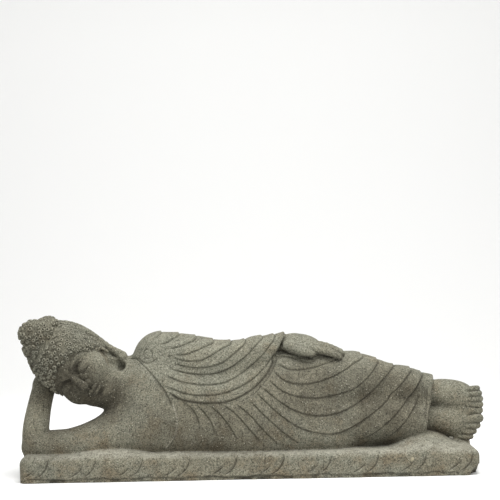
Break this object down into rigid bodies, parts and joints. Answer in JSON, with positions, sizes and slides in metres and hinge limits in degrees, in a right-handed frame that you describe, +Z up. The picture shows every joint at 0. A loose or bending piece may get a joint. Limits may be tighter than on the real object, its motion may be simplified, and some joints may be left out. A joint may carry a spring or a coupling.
{
  "type": "reclining figure statue",
  "caption": "Stone garden statue of a robed figure lying on one side, head propped on a hand, carved in one block with its low plinth.",
  "frame": {"origin": "middle of the flat underside, under the centre of the bounding box", "axes": "+X along the plinth towards the toes, the crown of the head at -X; the face looks to -Y; +Z up"},
  "size_m": [0.9936, 0.257, 0.3445],
  "materials": {
    "stone": "weathered grey-green volcanic stone, open grain, matt"
  },
  "bodies": {
    "root": {"carved_statue": "stone"}
  },
  "joints": []
}
